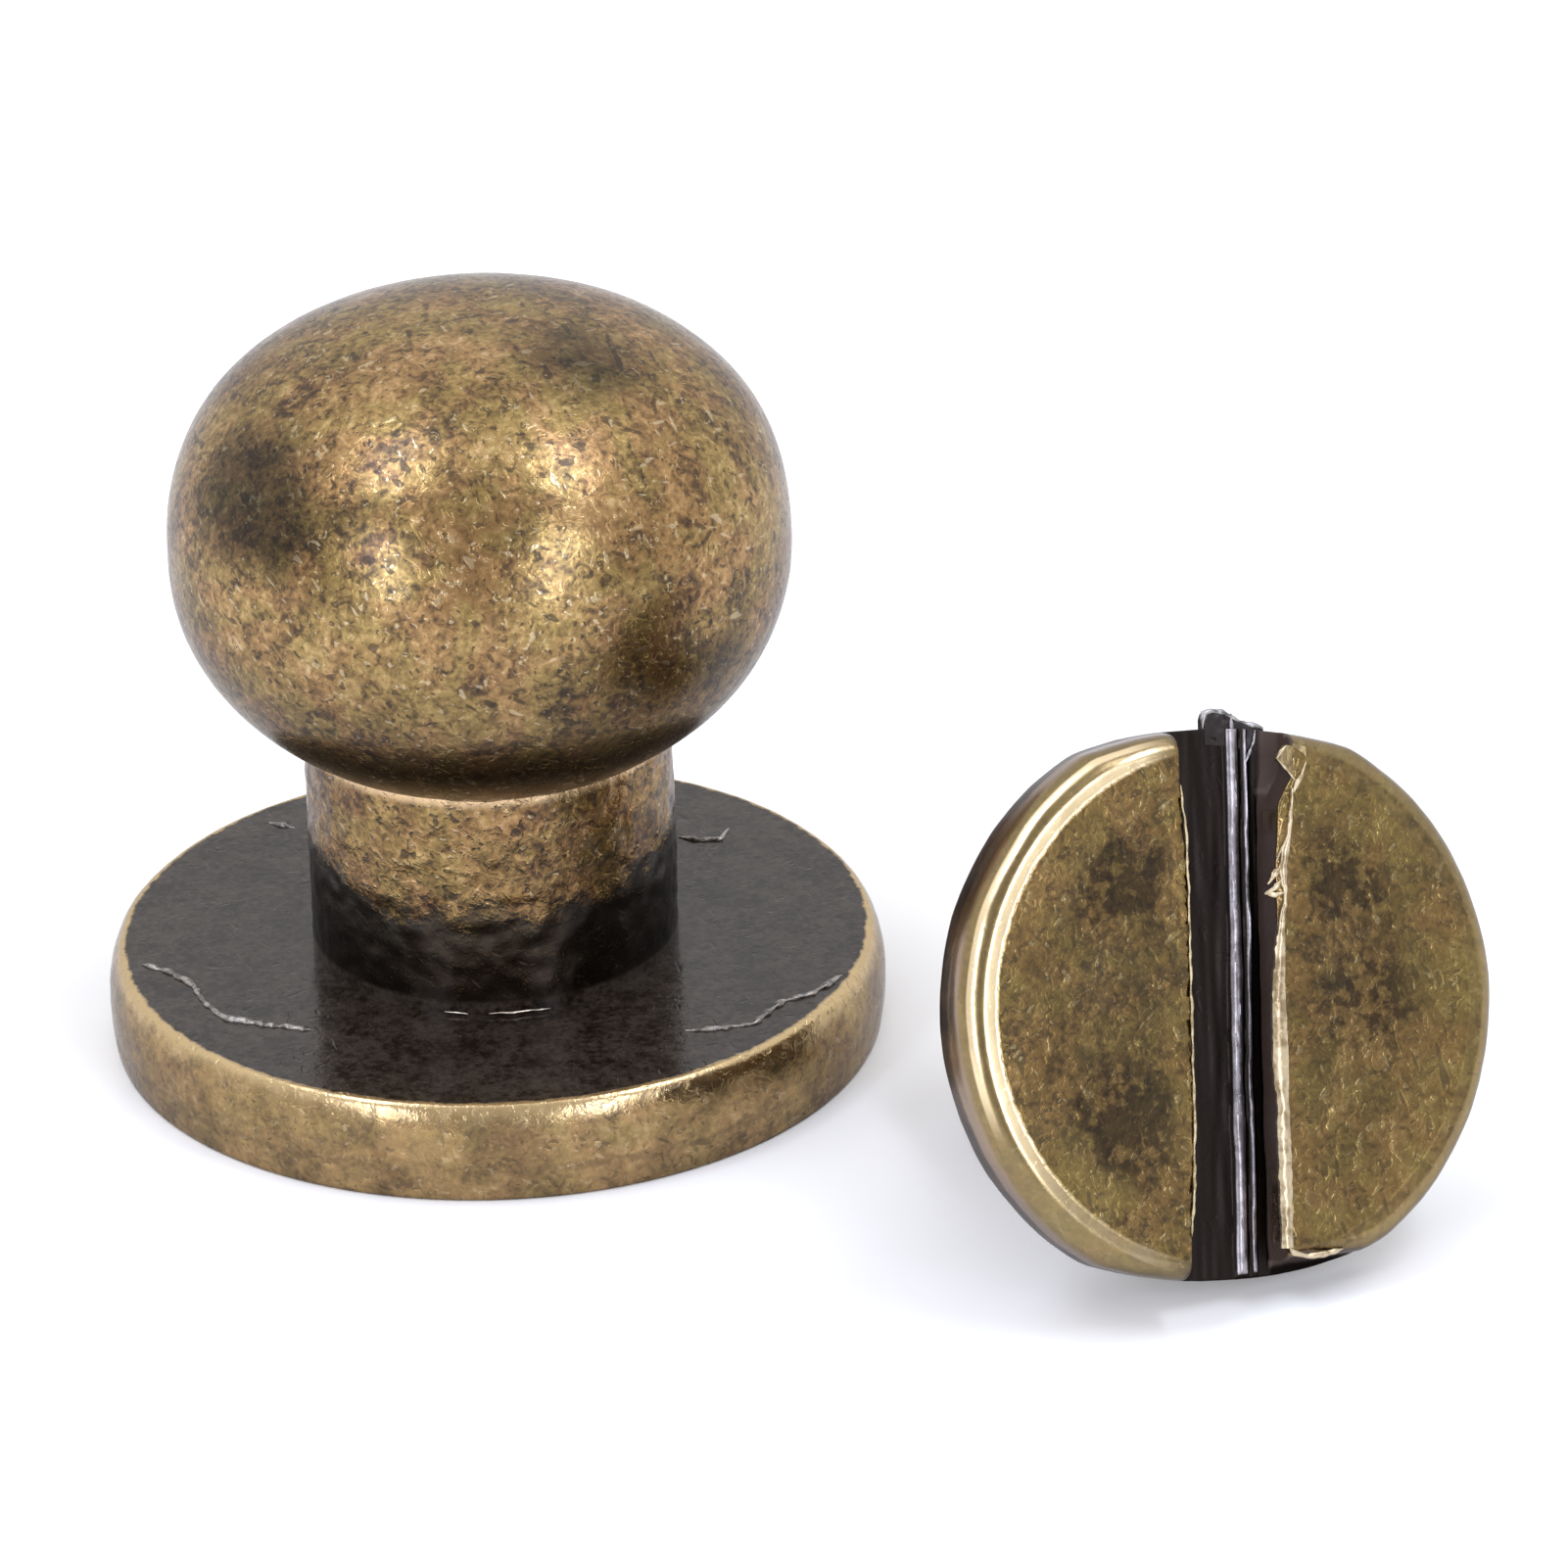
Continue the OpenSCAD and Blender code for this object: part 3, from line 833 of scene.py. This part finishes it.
lip_metal = speckled("torn_lip_brass", screw_place, 5.0, (0.36, 0.56), lip_colours, (0.28, 0.2), 0.016)
lip = finish_piece("slot_lip", lip_mesh, screw_place, lip_metal, 50)
teeth = raised_line("lip_teeth", lip_teeth, tooth_r, screw_place, lip_metal, 0.6, head_t)
lip_ends = raised_line("lip_ends", lip_lines, end_r, screw_place, lip_metal, jitter=0.01)

edge_metal = speckled("slot_edge_brass", screw_place, 6.0, (0.4, 0.6), line_colours, (0.3, 0.1), 0.01)
left_edge = raised_line("slot_left_edge", [left_line], line_r, screw_place, edge_metal, jitter=0.014)

# Burrs
# The cutter pushed metal out past the head at the slot's upper end: a black block level with the
# slot's floor, whose ragged edges and a line along the ridge carry pale painted highlights, and
# beside it a flap torn from the right lobe's corner.
burr_outline = [
    (-0.05, 3.20),
    (-0.05, 3.42),
    (-0.04, 3.56),
    (0.04, 3.59),
    (0.20, 3.58),
    (0.33, 3.52),
    (0.47, 3.46),
    (0.60, 3.43),
    (0.73, 3.36),
    (0.75, 3.28),
    (0.73, 3.18),
    (0.66, 3.10),
]
burr_under, burr_top = 0.10, slot_floor + 0.01
flap_outline = [(0.76, 3.15), (0.64, 2.99), (0.78, 2.85), (0.90, 2.69), (1.04, 2.90), (1.03, 3.14)]
flap_top, flap_t = 0.868, 0.09
burr_rough, flap_rough, flap_edge_r, burr_edge_r = 0.018, 0.012, 0.028, 0.030
burr_colours = (0.016, 0.011, 0.011), (0.055, 0.045, 0.045)
flap_colours = (0.12, 0.082, 0.036), (0.30, 0.22, 0.10)
burr_highlight_colours = (0.12, 0.11, 0.11), (0.40, 0.38, 0.385)


def plate(points, top, thick, roughened):
    """A flat piece with a given outline, divided and roughened."""
    made = bmesh.new()
    corners = [made.verts.new((x * MM, y * MM, (top - thick) * MM)) for x, y in points]
    made.faces.new(corners)
    raised = bmesh.ops.extrude_face_region(made, geom=made.faces[:])["geom"]
    lifted = [v for v in raised if isinstance(v, bmesh.types.BMVert)]
    bmesh.ops.translate(made, verts=lifted, vec=(0, 0, thick * MM))
    bmesh.ops.recalc_face_normals(made, faces=made.faces)
    bmesh.ops.triangulate(made, faces=made.faces[:])
    bmesh.ops.subdivide_edges(made, edges=made.edges[:], cuts=3, use_grid_fill=True)
    for vertex in made.verts:
        shake = noise.noise_vector(vertex.co / MM * 5.0)
        shake += 0.5 * noise.noise_vector(vertex.co / MM * 13.0)
        vertex.co += shake * roughened * MM
    return made


burr_metal = speckled("burr_black", screw_place, 4.0, (0.54, 0.68), burr_colours, (0.42, 0.1), 0.03)
burr_mesh = plate(burr_outline, burr_top, burr_top - burr_under, burr_rough)
burr = finish_piece("end_burr", burr_mesh, screw_place, burr_metal)

flap_metal = speckled("flap_brown", screw_place, 4.0, (0.40, 0.60), flap_colours, (0.34, 0.1), 0.03)
flap_mesh = plate(flap_outline, flap_top, flap_t, flap_rough)
flap = finish_piece("torn_flap", flap_mesh, screw_place, flap_metal)
flap_lines = [
    [(0.78, 3.15, 0.872), (0.71, 3.08, 0.872), (0.64, 2.99, 0.87)],
    [(0.66, 2.98, 0.87), (0.78, 2.85, 0.875), (0.90, 2.69, 0.88)],
]
flap_edges = raised_line("flap_edges", flap_lines, flap_edge_r, screw_place, lip_metal, jitter=0.01)

# Painted highlights: pale lines along the burr's ragged edges and along the ridge's line across it
burr_highlight_metal = speckled("burr_edge_highlight", screw_place, 6.0, (0.36, 0.56), burr_highlight_colours, (0.3, 0.1), 0.01)
burr_highlight_lines = [
    [
        (-0.06, 3.38, 0.26),
        (-0.05, 3.56, 0.27),
        (0.04, 3.59, 0.28),
        (0.20, 3.57, 0.28),
        (0.46, 3.45, 0.28),
    ],
    [(0.46, 3.45, 0.28), (0.72, 3.36, 0.28), (0.75, 3.27, 0.27)],
    [(ridge_wide + 0.02, 3.25, 0.30), (ridge_wide + 0.03, 3.56, 0.29)],
    [(0.62, 3.34, 0.30), (0.60, 3.20, 0.31), (0.53, 3.05, 0.31), (0.47, 2.90, 0.30)],
]
burr_highlight_edges = raised_line("burr_edge_highlights", burr_highlight_lines, burr_edge_r, screw_place, burr_highlight_metal, jitter=0.01)
